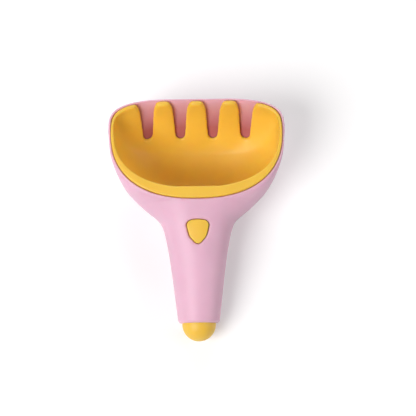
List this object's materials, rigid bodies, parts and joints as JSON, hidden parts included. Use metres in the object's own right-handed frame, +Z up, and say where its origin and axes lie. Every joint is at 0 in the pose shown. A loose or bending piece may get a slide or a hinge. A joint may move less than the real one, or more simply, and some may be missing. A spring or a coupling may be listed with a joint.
{
  "type": "sand rake",
  "caption": "Hand-held toy sand rake: a hollow scoop with a tapering handle, a lift-out fingered rake insert held by a spring catch, a thumb button and a rounded end tip.",
  "frame": {"origin": "on the ground below the middle of the rake's box, as it lies on its back", "axes": "+Y from the handle to the lip, +X to the right seen from the handle, +Z up out of the bowl"},
  "size_m": [0.12, 0.1614, 0.0492],
  "materials": {
    "shell_pink": "satin moulded plastic",
    "rake_yellow": "satin moulded plastic",
    "button_yellow": "satin moulded plastic",
    "spring_steel": "bright spring strip",
    "tip_yellow": "satin moulded plastic"
  },
  "bodies": {
    "scoop": {"scoop_shell": "shell_pink", "catch_spring": "spring_steel", "end_tip": "tip_yellow"},
    "rake": {"rake_insert": "rake_yellow"},
    "button": {"thumb_button": "button_yellow"}
  },
  "joints": [
    {"name": "rake_lift", "type": "slide", "parent": "scoop", "child": "rake", "axis": [0, 0, 1], "range_m": [0, 0.06], "deforming": ["catch_spring"]},
    {"name": "button_press", "type": "slide", "parent": "scoop", "child": "button", "axis": [0, 0.2655, -0.9641], "range_m": [0, 0.0025], "stiffness_N_per_m": 600, "springref_m": -0.002, "deforming": ["catch_spring"]}
  ]
}
